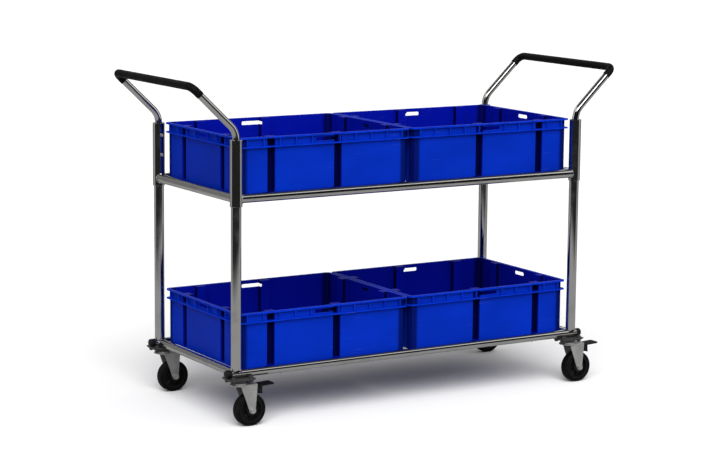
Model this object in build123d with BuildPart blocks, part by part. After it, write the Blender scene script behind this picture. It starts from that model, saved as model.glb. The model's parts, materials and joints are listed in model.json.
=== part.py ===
from build123d import *
import os

# A two-tier crate trolley: a tubular steel frame with a push handle at each end, four loose
# crates on two shelves, and four swivel casters, the front two with a foot brake.
# Millimetres.  +X runs along the trolley to its right end, +Y to its rear and +Z up.
# The origin is on the floor under the middle of the frame.

# Frame: the crate walls set its plan, with room between them and the shelf rails
shelf_pitch = 534.0
crate_end_room = 8.7
crate_side_room = 5.7

# Tubes
tube_wall = 1.5
upright_od = 31.8
top_rail_od = 28.6
bottom_rail_od = 25.4
bearer_od = 15.9
handle_od = 22.2
weld_gap = 0.2
slip_fit = 0.1
upright_skirt = 6.0
bearer_offset = 165.0
bearer_drop = 9.5

# Handle sockets and their clamp screws
socket_wall = 3.05
socket_chamfer = 0.75
socket_below_deck = 38.0
socket_above_deck = 162.0
socket_ledge = 3.0
socket_drain_d = 14.0
handle_insert = 78.0
clamp_screw_d = 6.0
clamp_screw_head_d = 10.0
clamp_screw_head_h = 4.0
clamp_screw_hex_r = 2.0
clamp_screw_hex_depth = 2.7
clamp_screw_drop = 38.0
clamp_screw_rise = 62.0

# Push handles and grips
handle_reach = 147.0
handle_rise = 164.0
handle_straight = 25.0
handle_leg_radius = 60.0
handle_corner_radius = 24.0
grip_wall = 1.0
grip_fit = 0.2
grip_on_leg = 14.0

# Bumper caps on the lower long rails
rail_overhang = 2.5
cap_length = 19.0
cap_plug = 18.0
cap_round = 5.0

# Crates
crate_length = 609.0
crate_width = 498.0
crate_height = 173.5
crate_gap = 4.0
crate_clearance = 0.3
crate_skin = 3.0
crate_floor = 3.0
crate_foot = 4.0
foot_inset = 1.0
foot_margin = 3.0
floor_rib = 3.0
floor_ribs_x = 5
floor_ribs_y = 4
rim_overhang = 9.0
rim_thick = 5.0
ledge_thick = 3.5
ledge_drop = 32.0
rim_radius = 16.0
wall_radius = 12.0
rim_rib = 3.0
rim_rib_pitch = 52.0
rim_rib_margin = 16.0
recess_width = 27.0
recess_depth = 20.0
long_wall_recesses = (-188.0, 45.0)
end_wall_recesses = (-128.0, 128.0)
long_slot_length = 66.0
end_slot_length = 52.0
slot_margin = 5.75
slot_round = 5.0

# Casters
caster_inset = 10.0
caster_trail = 35.0
corner_plate_x = 86.0
corner_plate_y = 66.0
corner_plate_t = 4.0
top_plate_x = 80.0
top_plate_y = 60.0
top_plate_t = 3.0
plate_round = 6.0
bolt_spacing_x = 60.0
bolt_spacing_y = 42.0
bolt_d = 8.0
bolt_clearance = 0.2
bolt_flats = 13.0
bolt_head_h = 5.3
bolt_nut_h = 6.5
bolt_tail = 2.0
cup_d = 52.0
cup_lip_d = 46.0
cup_h = 9.0
race_d = 48.0
race_width = 7.0
race_h = 4.1
race_round = 1.0
race_clearance = 0.3
kingpin_d = 12.0
kingpin_head_d = 22.0
kingpin_head_h = 4.0
running_fit = 0.06

# Swivel forks
crown_d = 56.0
crown_t = 3.0
leg_t = 3.0
leg_front = -4.0
leg_rear = 52.0
leg_foot_r = 10.0
leg_clearance = 0.7

# Wheels and axles
wheel_d = 100.0
wheel_headroom = 28.5
tyre_width = 32.0
tyre_t = 11.0
tyre_shoulder = 7.0
core_rim_t = 6.0
core_web_t = 10.0
core_rim_width = 30.0
hub_d = 36.0
hub_proud = 3.0
bush_d = 18.0
axle_d = 10.0
axle_flats = 16.0
axle_head_h = 6.4
axle_nut_h = 8.0
axle_tail = 2.0

# Brake pedals
pivot_x = 42.0
pivot_rise = 17.0
pivot_pin_d = 6.0
pivot_head_d = 10.0
pivot_head_h = 1.5
pedal_barrel_r = 7.0
pedal_body_width = 30.0
pedal_t = 4.0
pedal_rise = 3.0
pedal_travel = 15.0
pedal_reach = 70.0
pedal_pad_length = 54.0
pedal_pad_width = 40.0
pedal_pad_round = 6.0
shoe_start = 6.0
shoe_length = 24.0
shoe_depth = 24.0
shoe_clearance = 0.4

# Places worked out from the sizes above
socket_od = upright_od + 2 * slip_fit + 2 * socket_wall
walls_x = 2 * (crate_length - rim_overhang) + crate_gap
walls_y = crate_width - 2 * rim_overhang
upright_spacing_x = walls_x + 2 * crate_end_room + top_rail_od
upright_spacing_y = walls_y + 2 * crate_side_room + top_rail_od
half_x = upright_spacing_x / 2
half_y = upright_spacing_y / 2
wheel_z = wheel_d / 2
pivot_z = wheel_d + pivot_rise
crown_bottom_z = wheel_d + wheel_headroom
crown_top_z = crown_bottom_z + crown_t
race_bottom_z = crown_top_z + race_clearance
cup_bottom_z = race_bottom_z + race_h + slip_fit
plate_bottom_z = cup_bottom_z + cup_h
caster_height = plate_bottom_z + top_plate_t
rail_end_x = half_x + upright_od / 2 + rail_overhang
bottom_rail_z = caster_height + corner_plate_t + weld_gap + bottom_rail_od / 2
bottom_deck_z = bottom_rail_z + bottom_rail_od / 2
top_deck_z = bottom_deck_z + shelf_pitch
top_rail_z = top_deck_z - top_rail_od / 2
socket_bottom_z = top_deck_z - socket_below_deck
socket_top_z = top_deck_z + socket_above_deck
socket_step_z = socket_top_z - handle_insert
upright_top_z = socket_step_z - socket_ledge
clamp_screw_levels = (socket_top_z - clamp_screw_drop, top_deck_z + clamp_screw_rise)
crate_x = (crate_length + crate_gap) / 2
slot_height = ledge_drop - ledge_thick - rim_thick - 2 * slot_margin
slot_drop = (ledge_drop - ledge_thick + rim_thick) / 2
caster_x = half_x - caster_inset
bolt_hole_d = bolt_d + 2 * bolt_clearance
core_d = wheel_d - 2 * tyre_t
hub_length = tyre_width + 2 * hub_proud
leg_inner = hub_length / 2 + leg_clearance
leg_outer = leg_inner + leg_t

sides = (("left", -1), ("right", 1))
rows = (("front", -1), ("rear", 1))
tiers = (("top", top_deck_z), ("bottom", bottom_deck_z))
corners = [(f"{row}_{side}", sx * half_x, sy * half_y) for row, sy in rows for side, sx in sides]
caster_spots = [(f"{row}_{side}", sx * caster_x, sy * half_y) for row, sy in rows for side, sx in sides]
braked_corners = ("front_left", "front_right")

os.makedirs("parts", exist_ok=True)


def write(piece, label):
    """Label one finished sub-part and write it to its own file."""
    piece.part.label = label
    export_step(piece.part, f"parts/{label}.step")


def plane_along_x(x, y, z):
    """A section plane whose normal is +X, with its own X along +Y."""
    return Plane(origin=(x, y, z), x_dir=(0, 1, 0), z_dir=(1, 0, 0))


def plane_along_y(x, y, z):
    """A section plane whose normal is +Y, with its own X along +Z."""
    return Plane(origin=(x, y, z), x_dir=(0, 0, 1), z_dir=(0, 1, 0))


def side_plane(x, y, z):
    """A plane seen from the front: its own X along +X, its own Y along +Z, its normal along -Y."""
    return Plane(origin=(x, y, z), x_dir=(1, 0, 0), z_dir=(0, -1, 0))


# Uprights: round tubes whose feet are notched over the lower rails


def make_upright(corner, x, y):
    foot_z = bottom_deck_z - upright_skirt
    with BuildPart() as upright:
        with BuildSketch(Plane(origin=(x, y, foot_z))):
            Circle(upright_od / 2)
            Circle(upright_od / 2 - tube_wall, mode=Mode.SUBTRACT)
        extrude(amount=upright_top_z - foot_z)
        with BuildSketch(plane_along_x(x - upright_od, y, bottom_rail_z)):
            Circle(bottom_rail_od / 2 + weld_gap)
        extrude(amount=2 * upright_od, mode=Mode.SUBTRACT)
        with BuildSketch(plane_along_y(x, y - upright_od, bottom_rail_z)):
            Circle(bottom_rail_od / 2 + weld_gap)
        extrude(amount=2 * upright_od, mode=Mode.SUBTRACT)
    write(upright, f"upright_{corner}")


# Handle sockets: the wide lower bore takes the upright, the narrow upper bore the handle leg


def make_socket(corner, x, y):
    inward = -1 if y > 0 else 1
    with BuildPart() as socket:
        with BuildSketch(Plane(origin=(x, y, socket_bottom_z))):
            Circle(socket_od / 2)
        extrude(amount=socket_top_z - socket_bottom_z)
        chamfer(socket.edges().filter_by(GeomType.CIRCLE), socket_chamfer)
        with BuildSketch(Plane(origin=(x, y, socket_bottom_z))):
            Circle(upright_od / 2 + slip_fit)
        extrude(amount=upright_top_z - socket_bottom_z, mode=Mode.SUBTRACT)
        with BuildSketch(Plane(origin=(x, y, socket_step_z))):
            Circle(handle_od / 2 + slip_fit)
        extrude(amount=handle_insert, mode=Mode.SUBTRACT)
        with BuildSketch(Plane(origin=(x, y, upright_top_z))):
            Circle(socket_drain_d / 2)
        extrude(amount=socket_ledge, mode=Mode.SUBTRACT)
        for z in clamp_screw_levels:
            with BuildSketch(Plane(origin=(x, y, z), x_dir=(1, 0, 0), z_dir=(0, inward, 0))):
                Circle(clamp_screw_d / 2 + slip_fit)
            extrude(amount=socket_od, mode=Mode.SUBTRACT)
    write(socket, f"socket_{corner}")


def make_socket_screws():
    held_radii = (handle_od / 2, upright_od / 2)
    with BuildPart() as screws:
        for corner, x, y in corners:
            inward = -1 if y > 0 else 1
            for z, held in zip(clamp_screw_levels, held_radii):
                tip = held + slip_fit / 2
                seat = socket_od / 2 + slip_fit / 2
                with BuildSketch(Plane((x, y + inward * tip, z), (1, 0, 0), (0, inward, 0))):
                    Circle(clamp_screw_d / 2)
                extrude(amount=seat - tip)
                with BuildSketch(Plane((x, y + inward * seat, z), (1, 0, 0), (0, inward, 0))):
                    Circle(clamp_screw_head_d / 2)
                extrude(amount=clamp_screw_head_h)
                head_face = y + inward * (seat + clamp_screw_head_h)
                with BuildSketch(Plane((x, head_face, z), (1, 0, 0), (0, inward, 0))):
                    RegularPolygon(clamp_screw_hex_r, 6)
                extrude(amount=-clamp_screw_hex_depth, mode=Mode.SUBTRACT)
    write(screws, "socket_screws")


# Push handles: each is one bent tube, an inverted U whose legs lean outwards


def make_handle(side, sx):
    leg_x = sx * half_x
    bar_x = sx * (half_x + handle_reach)
    bend_z = socket_top_z + handle_straight
    bar_z = socket_top_z + handle_rise
    route = [
        (leg_x, -half_y, socket_step_z),
        (leg_x, -half_y, bend_z),
        (bar_x, -half_y, bar_z),
        (bar_x, half_y, bar_z),
        (leg_x, half_y, bend_z),
        (leg_x, half_y, socket_step_z),
    ]
    radii = [handle_leg_radius, handle_corner_radius, handle_corner_radius, handle_leg_radius]
    with BuildPart() as handle:
        with BuildLine():
            FilletPolyline(*route, radius=radii)
        with BuildSketch(Plane(origin=route[0])):
            Circle(handle_od / 2)
            Circle(handle_od / 2 - tube_wall, mode=Mode.SUBTRACT)
        sweep()
    write(handle, f"handle_{side}")

    up_leg = (Vector(route[2]) - Vector(route[1])).normalized()
    below_bar = up_leg * (handle_corner_radius + grip_on_leg)
    grip_route = [Vector(route[2]) - below_bar, route[2], route[3], Vector(route[3]) - below_bar]
    with BuildPart() as grip:
        with BuildLine():
            FilletPolyline(*grip_route, radius=handle_corner_radius)
        with BuildSketch(Plane(origin=grip_route[0], x_dir=(0, 1, 0), z_dir=up_leg)):
            Circle(handle_od / 2 + grip_fit + grip_wall)
            Circle(handle_od / 2 + grip_fit, mode=Mode.SUBTRACT)
        sweep()
    write(grip, f"grip_{side}")


# Shelf rails and bearers: straight tubes whose ends are notched round what they are welded to


def make_top_rails():
    notch = socket_od / 2 + weld_gap
    notch_height = 2 * top_rail_od
    for row, sy in rows:
        with BuildPart() as rail:
            with BuildSketch(plane_along_x(-half_x, sy * half_y, top_rail_z)):
                Circle(top_rail_od / 2)
                Circle(top_rail_od / 2 - tube_wall, mode=Mode.SUBTRACT)
            extrude(amount=upright_spacing_x)
            with Locations((-half_x, sy * half_y, top_rail_z), (half_x, sy * half_y, top_rail_z)):
                Cylinder(notch, notch_height, mode=Mode.SUBTRACT)
        write(rail, f"top_{row}_rail")
    for side, sx in sides:
        with BuildPart() as rail:
            with BuildSketch(plane_along_y(sx * half_x, -half_y, top_rail_z)):
                Circle(top_rail_od / 2)
                Circle(top_rail_od / 2 - tube_wall, mode=Mode.SUBTRACT)
            extrude(amount=upright_spacing_y)
            with Locations((sx * half_x, -half_y, top_rail_z), (sx * half_x, half_y, top_rail_z)):
                Cylinder(notch, notch_height, mode=Mode.SUBTRACT)
            with Locations((0, -half_y, top_rail_z), (0, half_y, top_rail_z)):
                Cylinder(
                    top_rail_od / 2 + weld_gap,
                    upright_spacing_x,
                    rotation=(0, 90, 0),
                    mode=Mode.SUBTRACT,
                )
        write(rail, f"top_{side}_rail")


def make_bottom_rails():
    for row, sy in rows:
        with BuildPart() as rail:
            with BuildSketch(plane_along_x(-rail_end_x, sy * half_y, bottom_rail_z)):
                Circle(bottom_rail_od / 2)
                Circle(bottom_rail_od / 2 - tube_wall, mode=Mode.SUBTRACT)
            extrude(amount=2 * rail_end_x)
        write(rail, f"bottom_{row}_rail")
    for side, sx in sides:
        with BuildPart() as rail:
            with BuildSketch(plane_along_y(sx * half_x, -half_y, bottom_rail_z)):
                Circle(bottom_rail_od / 2)
                Circle(bottom_rail_od / 2 - tube_wall, mode=Mode.SUBTRACT)
            extrude(amount=upright_spacing_y)
            with Locations((sx * half_x, -half_y, bottom_rail_z), (sx * half_x, half_y, bottom_rail_z)):
                Cylinder(
                    bottom_rail_od / 2 + weld_gap,
                    2 * bottom_rail_od,
                    rotation=(0, 90, 0),
                    mode=Mode.SUBTRACT,
                )
        write(rail, f"bottom_{side}_rail")


def make_bearers(tier, deck_z, rail_od):
    rail_z = deck_z - rail_od / 2
    bearer_z = deck_z - bearer_drop - bearer_od / 2
    bearer_places = [sx * crate_x + offset for side, sx in sides for offset in (-bearer_offset, bearer_offset)]
    with BuildPart() as bearers:
        for x in bearer_places:
            with BuildSketch(plane_along_y(x, -half_y, bearer_z)):
                Circle(bearer_od / 2)
                Circle(bearer_od / 2 - tube_wall, mode=Mode.SUBTRACT)
            extrude(amount=upright_spacing_y)
        with Locations((0, -half_y, rail_z), (0, half_y, rail_z)):
            Cylinder(rail_od / 2 + weld_gap, upright_spacing_x, rotation=(0, 90, 0), mode=Mode.SUBTRACT)
    write(bearers, f"{tier}_bearers")


def make_rail_end_caps():
    with BuildPart() as caps:
        for side, sx in sides:
            for row, sy in rows:
                end = Plane((sx * rail_end_x, sy * half_y, bottom_rail_z), (0, 1, 0), (sx, 0, 0))
                with BuildSketch(end):
                    Circle(bottom_rail_od / 2)
                extrude(amount=cap_length)
                with BuildSketch(end):
                    Circle(bottom_rail_od / 2 - tube_wall - slip_fit)
                extrude(amount=-cap_plug)
        outer_rims = caps.edges().filter_by(GeomType.CIRCLE)
        outer_rims = outer_rims.filter_by(lambda edge: abs(edge.center().X) > rail_end_x + cap_length / 2)
        fillet(outer_rims, cap_round)
    write(caps, "rail_end_caps")


def make_corner_plates():
    with BuildPart() as plates:
        for corner, x, y in caster_spots:
            with BuildSketch(Plane(origin=(x, y, caster_height))):
                RectangleRounded(corner_plate_x, corner_plate_y, plate_round)
                with GridLocations(bolt_spacing_x, bolt_spacing_y, 2, 2):
                    Circle(bolt_hole_d / 2, mode=Mode.SUBTRACT)
            extrude(amount=corner_plate_t)
    write(plates, "corner_plates")


# Crates: ribbed open boxes with recessed columns in the walls and a hand-hold in each wall


def rim_rib_places(length, slot_length):
    """Rib centres along one side of the rim, clear of its hand-hold and its corners."""
    first = slot_length / 2 + rim_rib_margin
    last = length / 2 - rim_radius - rim_rib_margin
    count = max(2, round((last - first) / rim_rib_pitch) + 1)
    step = (last - first) / (count - 1)
    return [way * (first + number * step) for way in (-1, 1) for number in range(count)]


def make_crate(label, x, deck_z, turn):
    wall_length = crate_length - 2 * rim_overhang
    wall_width = crate_width - 2 * rim_overhang
    base_z = deck_z - bearer_drop + crate_clearance
    base = Plane(origin=(x, 0, base_z), x_dir=(turn, 0, 0), z_dir=(0, 0, 1))
    floor_top = crate_foot + crate_floor
    ledge_bottom = crate_height - ledge_drop
    foot_length = wall_length - 2 * foot_inset
    foot_depth = wall_width - 2 * foot_inset
    # The foot ring reaches in past the recesses, so that it closes their lower ends
    foot_width = recess_depth + foot_margin - foot_inset

    with BuildSketch() as wall_outline:
        RectangleRounded(wall_length, wall_width, wall_radius)
        with Locations(*[(at, end * wall_width / 2) for at in long_wall_recesses for end in (-1, 1)]):
            Rectangle(recess_width, 2 * recess_depth, mode=Mode.SUBTRACT)
        with Locations(*[(end * wall_length / 2, at) for at in end_wall_recesses for end in (-1, 1)]):
            Rectangle(2 * recess_depth, recess_width, mode=Mode.SUBTRACT)
    with BuildSketch() as inside_outline:
        add(wall_outline.sketch)
        offset(amount=-crate_skin, kind=Kind.INTERSECTION, mode=Mode.REPLACE)

    with BuildPart() as crate:
        with BuildSketch(base):
            RectangleRounded(foot_length, foot_depth, wall_radius)
            Rectangle(foot_length - 2 * foot_width, foot_depth - 2 * foot_width, mode=Mode.SUBTRACT)
            with GridLocations(foot_length / (floor_ribs_x + 1), 0, floor_ribs_x, 1):
                Rectangle(floor_rib, foot_depth - foot_width)
            with GridLocations(0, foot_depth / (floor_ribs_y + 1), 1, floor_ribs_y):
                Rectangle(foot_length - foot_width, floor_rib)
        extrude(amount=crate_foot)
        with BuildSketch(base.offset(crate_foot)):
            add(wall_outline.sketch)
        extrude(amount=crate_height - crate_foot)
        with BuildSketch(base.offset(ledge_bottom)):
            RectangleRounded(crate_length, crate_width, rim_radius)
        extrude(amount=ledge_thick)
        with BuildSketch(base.offset(crate_height - rim_thick)):
            RectangleRounded(crate_length, crate_width, rim_radius)
        extrude(amount=rim_thick)
        with BuildSketch(base.offset(ledge_bottom + ledge_thick / 2)):
            with Locations(*[(at, 0) for at in rim_rib_places(crate_length, long_slot_length)]):
                Rectangle(rim_rib, crate_width - rim_rib)
            with Locations(*[(0, at) for at in rim_rib_places(crate_width, end_slot_length)]):
                Rectangle(crate_length - rim_rib, rim_rib)
        extrude(amount=ledge_drop - rim_thick / 2 - ledge_thick / 2)
        with BuildSketch(base.offset(floor_top)):
            add(inside_outline.sketch)
        extrude(amount=crate_height, mode=Mode.SUBTRACT)
        slot_z = base_z + crate_height - slot_drop
        with BuildSketch(side_plane(x, 0, slot_z)):
            RectangleRounded(long_slot_length, slot_height, slot_round)
        extrude(amount=crate_width, both=True, mode=Mode.SUBTRACT)
        with BuildSketch(plane_along_x(x, 0, slot_z)):
            RectangleRounded(end_slot_length, slot_height, slot_round)
        extrude(amount=crate_length, both=True, mode=Mode.SUBTRACT)
    write(crate, label)


# Casters: the plate, kingpin and ball race stay with the frame, the fork swivels under them


def make_top_plate(corner, x, y):
    with BuildPart() as plate:
        with BuildSketch(Plane(origin=(x, y, plate_bottom_z))):
            RectangleRounded(top_plate_x, top_plate_y, plate_round)
            with GridLocations(bolt_spacing_x, bolt_spacing_y, 2, 2):
                Circle(bolt_hole_d / 2, mode=Mode.SUBTRACT)
        extrude(amount=top_plate_t)
        with BuildSketch(Plane(origin=(x, y, cup_bottom_z))):
            Circle(cup_lip_d / 2)
        with BuildSketch(Plane(origin=(x, y, plate_bottom_z))):
            Circle(cup_d / 2)
        loft()
        with BuildSketch(Plane(origin=(x, y, cup_bottom_z))):
            Circle(kingpin_d / 2 + slip_fit)
        extrude(amount=cup_h + top_plate_t, mode=Mode.SUBTRACT)
    write(plate, f"caster_plate_{corner}")


def make_kingpins():
    head_top_z = crown_bottom_z - race_clearance
    with BuildPart() as pins:
        for corner, x, y in caster_spots:
            with BuildSketch(Plane(origin=(x, y, head_top_z - kingpin_head_h))):
                Circle(kingpin_head_d / 2)
            extrude(amount=kingpin_head_h)
            with BuildSketch(Plane(origin=(x, y, head_top_z))):
                Circle(kingpin_d / 2)
            extrude(amount=caster_height - slip_fit - head_top_z)
    write(pins, "kingpins")


def make_ball_races():
    with BuildPart() as races:
        for corner, x, y in caster_spots:
            with BuildSketch(Plane(origin=(x, y, race_bottom_z))):
                Circle(race_d / 2)
                Circle(race_d / 2 - race_width, mode=Mode.SUBTRACT)
            extrude(amount=race_h)
        fillet(races.edges().filter_by(GeomType.CIRCLE), race_round)
    write(races, "ball_races")


def make_caster_bolts():
    topside_z = caster_height + corner_plate_t
    with BuildPart() as bolts:
        for corner, x, y in caster_spots:
            with BuildSketch(Plane(origin=(x, y, topside_z))):
                with GridLocations(bolt_spacing_x, bolt_spacing_y, 2, 2):
                    RegularPolygon(bolt_flats / 2, 6, major_radius=False)
            extrude(amount=bolt_head_h)
            with BuildSketch(Plane(origin=(x, y, topside_z))):
                with GridLocations(bolt_spacing_x, bolt_spacing_y, 2, 2):
                    Circle(bolt_d / 2)
            extrude(amount=-(topside_z - plate_bottom_z + bolt_nut_h + bolt_tail))
    with BuildPart() as nuts:
        for corner, x, y in caster_spots:
            with BuildSketch(Plane(origin=(x, y, plate_bottom_z))):
                with GridLocations(bolt_spacing_x, bolt_spacing_y, 2, 2):
                    RegularPolygon(bolt_flats / 2, 6, major_radius=False)
                    Circle(bolt_d / 2 + running_fit, mode=Mode.SUBTRACT)
            extrude(amount=-bolt_nut_h)
    with BuildPart() as fasteners:
        add(bolts.part)
        add(nuts.part)
    write(fasteners, "caster_bolts")


def make_fork(corner, x, y, braked):
    with BuildPart() as fork:
        with BuildSketch(Plane(origin=(x, y, crown_bottom_z))):
            Circle(crown_d / 2)
            with Locations(((leg_front + leg_rear) / 2, 0)):
                Rectangle(leg_rear - leg_front, 2 * leg_outer)
            Circle(kingpin_d / 2 + running_fit, mode=Mode.SUBTRACT)
        extrude(amount=crown_t)
        for leg_plane in (side_plane(x, y + leg_outer, 0), side_plane(x, y - leg_inner, 0)):
            with BuildSketch(leg_plane):
                with Locations((caster_trail, wheel_z)):
                    Circle(leg_foot_r)
                with Locations(((leg_front + leg_rear) / 2, crown_bottom_z + crown_t / 2)):
                    Rectangle(leg_rear - leg_front, crown_t)
                make_hull()
                with Locations((caster_trail, wheel_z)):
                    Circle(axle_d / 2 + running_fit, mode=Mode.SUBTRACT)
                if braked:
                    with Locations((pivot_x, pivot_z)):
                        Circle(pivot_pin_d / 2 + running_fit, mode=Mode.SUBTRACT)
            extrude(amount=leg_t)
        outer_bends = fork.edges().filter_by(Axis.X).group_by(Axis.Z)[-1]
        fillet(outer_bends.filter_by(lambda edge: abs(abs(edge.center().Y - y) - leg_outer) < leg_t / 2), leg_t)
    write(fork, f"swivel_fork_{corner}")


def make_axle(corner, x, y):
    axle_x = x + caster_trail
    head_face_y = y - leg_outer
    nut_face_y = y + leg_outer
    with BuildPart() as bolt:
        with BuildSketch(plane_along_y(axle_x, head_face_y, wheel_z)):
            Circle(axle_d / 2)
        extrude(amount=2 * leg_outer + axle_nut_h + axle_tail)
        with BuildSketch(plane_along_y(axle_x, head_face_y, wheel_z)):
            RegularPolygon(axle_flats / 2, 6, major_radius=False)
        extrude(amount=-axle_head_h)
    with BuildPart() as nut:
        with BuildSketch(plane_along_y(axle_x, nut_face_y, wheel_z)):
            RegularPolygon(axle_flats / 2, 6, major_radius=False)
            Circle(axle_d / 2 + running_fit, mode=Mode.SUBTRACT)
        extrude(amount=axle_nut_h)
    with BuildPart() as axle:
        add(bolt.part)
        add(nut.part)
    write(axle, f"axle_bolt_{corner}")

    bush_length = 2 * (leg_inner - slip_fit)
    with BuildPart() as bush:
        with BuildSketch(plane_along_y(axle_x, y - bush_length / 2, wheel_z)):
            Circle(bush_d / 2)
            Circle(axle_d / 2 + running_fit, mode=Mode.SUBTRACT)
        extrude(amount=bush_length)
    write(bush, f"axle_bush_{corner}")


def make_wheel(corner, x, y):
    axle_x = x + caster_trail
    section_plane = plane_along_x(axle_x, y, wheel_z)
    axle_line = Axis((axle_x, y, wheel_z), (0, 1, 0))
    bore_r = bush_d / 2 + running_fit
    rim_inner = core_d / 2 - core_rim_t
    tyre_inner = core_d / 2 + slip_fit / 2
    with BuildPart() as core:
        with BuildSketch(section_plane):
            with Locations((0, (bore_r + hub_d / 2) / 2)):
                Rectangle(hub_length, hub_d / 2 - bore_r)
            with Locations((0, (bore_r + core_d / 2) / 2)):
                Rectangle(core_web_t, core_d / 2 - bore_r)
            with Locations((0, (rim_inner + core_d / 2) / 2)):
                Rectangle(core_rim_width, core_rim_t)
        revolve(axis=axle_line)
    write(core, f"wheel_core_{corner}")
    with BuildPart() as tyre:
        with BuildSketch(section_plane) as section:
            with Locations((0, (tyre_inner + wheel_d / 2) / 2)):
                Rectangle(tyre_width, wheel_d / 2 - tyre_inner)
            fillet(section.vertices().group_by(Axis.Y)[-1], tyre_shoulder)
        revolve(axis=axle_line)
    write(tyre, f"tyre_{corner}")


def make_brake(corner, x, y):
    pivot = Location((pivot_x, pivot_z, 0), (0, 0, pedal_rise))
    axle_from_pivot = Vector(caster_trail - pivot_x, wheel_z - pivot_z)
    shoe_center = Vector(pivot_x, pivot_z) + axle_from_pivot.rotate(Axis.Z, pedal_travel)
    lever_base = pedal_barrel_r - pedal_t
    pad_plane = Plane((x + pivot_x, y, pivot_z)).rotated((0, -pedal_rise, 0)).offset(lever_base)
    with BuildPart() as pedal:
        with BuildSketch(side_plane(x, y + pedal_body_width / 2, 0)):
            with Locations(pivot):
                Circle(pedal_barrel_r)
                with Locations((0, lever_base)):
                    Rectangle(pedal_reach - pedal_pad_round, pedal_t, align=Align.MIN)
                with Locations((0, -lever_base)):
                    Rectangle(shoe_start + lever_base, 2 * lever_base, align=Align.MIN)
                with Locations((shoe_start, lever_base - shoe_depth)):
                    Rectangle(shoe_length, shoe_depth, align=Align.MIN)
            with Locations((shoe_center.X, shoe_center.Y)):
                Circle(wheel_d / 2 + shoe_clearance, mode=Mode.SUBTRACT)
            with Locations((pivot_x, pivot_z)):
                Circle(pivot_pin_d / 2 + running_fit, mode=Mode.SUBTRACT)
        extrude(amount=pedal_body_width)
        with BuildSketch(pad_plane):
            with Locations((pedal_reach - pedal_pad_length / 2, 0)):
                RectangleRounded(pedal_pad_length, pedal_pad_width, pedal_pad_round)
        extrude(amount=pedal_t)
    write(pedal, f"brake_pedal_{corner}")
    with BuildPart() as pin:
        with BuildSketch(plane_along_y(x + pivot_x, y - leg_outer, pivot_z)):
            Circle(pivot_pin_d / 2)
        extrude(amount=2 * leg_outer)
        with BuildSketch(plane_along_y(x + pivot_x, y - leg_outer, pivot_z)):
            Circle(pivot_head_d / 2)
        extrude(amount=-pivot_head_h)
        with BuildSketch(plane_along_y(x + pivot_x, y + leg_outer, pivot_z)):
            Circle(pivot_head_d / 2)
        extrude(amount=pivot_head_h)
    write(pin, f"brake_pin_{corner}")


for corner, x, y in corners:
    make_upright(corner, x, y)
    make_socket(corner, x, y)
make_socket_screws()
for side, sx in sides:
    make_handle(side, sx)
make_top_rails()
make_bottom_rails()
make_bearers("top", top_deck_z, top_rail_od)
make_bearers("bottom", bottom_deck_z, bottom_rail_od)
make_rail_end_caps()
make_corner_plates()
for tier, deck_z in tiers:
    for side, sx in sides:
        make_crate(f"crate_{tier}_{side}", sx * crate_x, deck_z, -sx)
make_kingpins()
make_ball_races()
make_caster_bolts()
for corner, x, y in caster_spots:
    make_top_plate(corner, x, y)
    make_fork(corner, x, y, corner in braked_corners)
    make_axle(corner, x, y)
    make_wheel(corner, x, y)
for corner, x, y in caster_spots:
    if corner in braked_corners:
        make_brake(corner, x, y)
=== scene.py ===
import json
import math

import bmesh
import bpy
from bpy.props import FloatProperty, FloatVectorProperty, IntProperty, PointerProperty
from mathutils import Matrix, Vector

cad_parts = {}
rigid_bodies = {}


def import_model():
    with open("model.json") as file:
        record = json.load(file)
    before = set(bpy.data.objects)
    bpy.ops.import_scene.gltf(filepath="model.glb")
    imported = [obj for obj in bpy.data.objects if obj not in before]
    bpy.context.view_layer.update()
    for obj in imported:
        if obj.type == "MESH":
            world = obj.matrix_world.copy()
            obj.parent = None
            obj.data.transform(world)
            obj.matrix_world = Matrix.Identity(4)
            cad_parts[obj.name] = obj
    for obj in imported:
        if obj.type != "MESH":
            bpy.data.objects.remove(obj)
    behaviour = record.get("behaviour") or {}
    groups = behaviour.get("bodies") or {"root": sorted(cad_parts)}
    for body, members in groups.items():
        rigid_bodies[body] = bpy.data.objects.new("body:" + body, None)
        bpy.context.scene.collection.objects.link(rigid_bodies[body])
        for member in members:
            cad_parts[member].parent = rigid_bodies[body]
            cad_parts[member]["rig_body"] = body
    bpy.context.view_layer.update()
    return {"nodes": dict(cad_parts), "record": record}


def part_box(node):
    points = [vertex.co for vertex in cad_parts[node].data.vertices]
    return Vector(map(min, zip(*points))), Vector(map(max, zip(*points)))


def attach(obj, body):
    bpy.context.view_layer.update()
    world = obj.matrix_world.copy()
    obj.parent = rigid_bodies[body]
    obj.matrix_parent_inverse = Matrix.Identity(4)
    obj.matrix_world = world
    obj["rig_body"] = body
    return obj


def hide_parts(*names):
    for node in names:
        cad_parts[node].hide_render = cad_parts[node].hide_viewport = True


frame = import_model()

bl_info = {
    "name": "Crate trolley",
    "version": (1, 0, 0),
    "blender": (4, 5, 0),
    "location": "3D View > Sidebar > Trolley",
    "description": "Surfaces, moulded pieces and welds for a two-tier crate trolley",
    "category": "Object",
}

NODES = frame["nodes"]
BODY_OF = {name: node["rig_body"] for name, node in NODES.items()}
SLOT_OF = {part["node"]: part["material_slot"] for part in frame["record"]["subparts"]}

ROWS = ("front", "rear")
SIDES = ("left", "right")
TIERS = ("top", "bottom")
CORNERS = [f"{row}_{side}" for row in ROWS for side in SIDES]
CRATES = [f"crate_{tier}_{side}" for tier in TIERS for side in SIDES]
BRAKED = ("front_left", "front_right")
SOFTENED_METAL = (
    ["corner_plates", "caster_bolts", "socket_screws", "kingpins", "ball_races"]
    + [f"caster_plate_{corner}" for corner in CORNERS]
    + [f"axle_bolt_{corner}" for corner in CORNERS]
    + [f"brake_pin_{corner}" for corner in BRAKED]
)

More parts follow.
